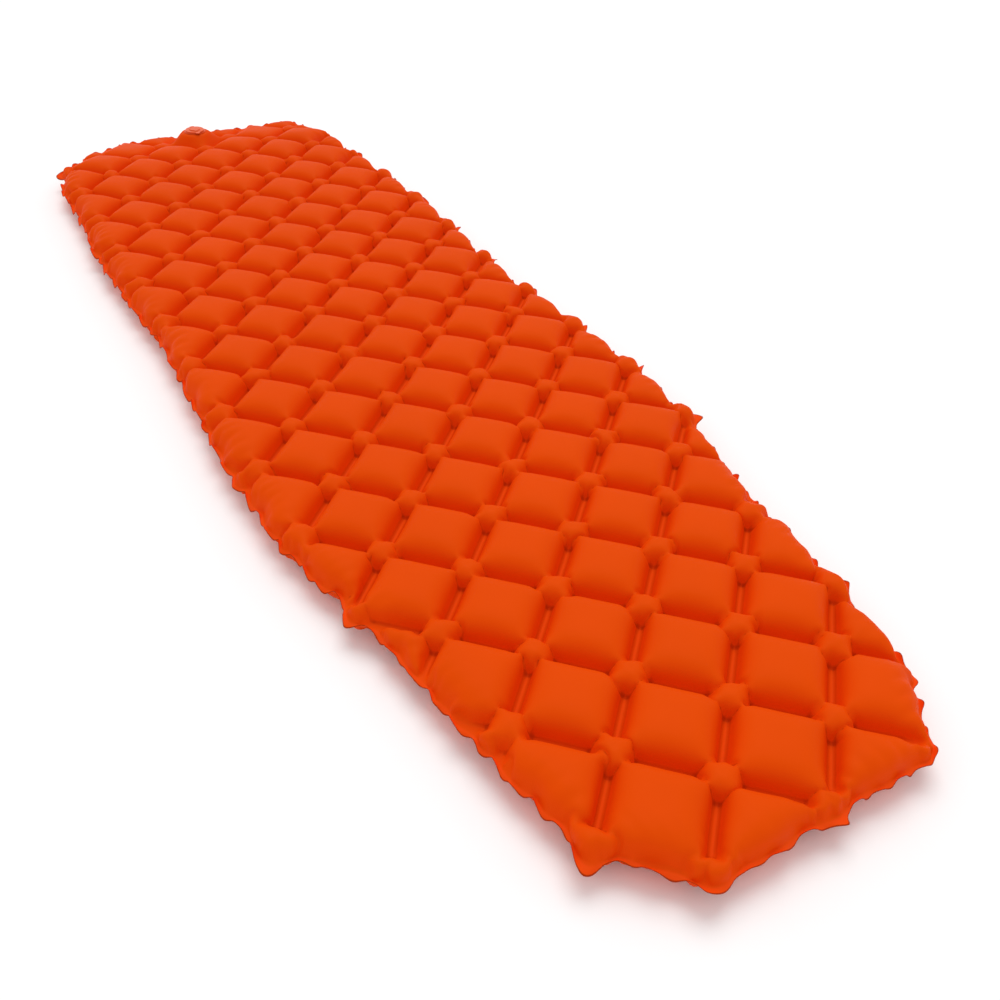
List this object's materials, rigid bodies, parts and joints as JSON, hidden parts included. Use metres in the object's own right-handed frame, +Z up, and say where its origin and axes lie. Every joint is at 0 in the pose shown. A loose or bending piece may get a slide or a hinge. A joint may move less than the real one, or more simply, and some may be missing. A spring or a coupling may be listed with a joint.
{
  "type": "inflatable sleeping pad",
  "caption": "Long, thin air pad of two fabric sheets welded in a diamond lattice, tapered towards the feet, with a two-stage air valve near the head end.",
  "frame": {"origin": "on the floor under the middle of the pad, inflated and lying flat", "axes": "+Y towards the head end, +X across the pad, +Z up out of the bed side"},
  "size_m": [0.5806, 1.904, 0.0602],
  "materials": {
    "top_fabric": "coated ripstop polyester, satin, orange",
    "bottom_fabric": "coated ripstop polyester, satin, orange",
    "valve_tpu": "moulded soft polyurethane, satin",
    "silicone": "translucent silicone, matte"
  },
  "bodies": {
    "pad": {"top_sheet": "top_fabric", "bottom_sheet": "bottom_fabric", "valve_base": "valve_tpu", "tether_ring": "valve_tpu"},
    "plug": {"deflate_plug": "valve_tpu", "plug_strap": "valve_tpu", "plug_seal": "silicone"},
    "flap": {"check_flap": "silicone"},
    "cap": {"inflate_cap": "valve_tpu", "cap_strap": "valve_tpu", "cap_seal": "silicone"}
  },
  "joints": [
    {"name": "plug_hinge", "type": "hinge", "parent": "pad", "child": "plug", "pos_m": [0, 0.892, 0.05775], "axis": [-1, 0, 0], "range_deg": [0, 130]},
    {"name": "cap_hinge", "type": "hinge", "parent": "plug", "child": "cap", "pos_m": [0, 0.8584, 0.05935], "axis": [1, 0, 0], "range_deg": [0, 150]},
    {"name": "flap_hinge", "type": "hinge", "parent": "plug", "child": "flap", "pos_m": [0, 0.882, 0.051], "axis": [1, 0, 0], "range_deg": [0, 45], "stiffness_Nm_per_rad": 0.0002, "springref_deg": -17.19}
  ]
}
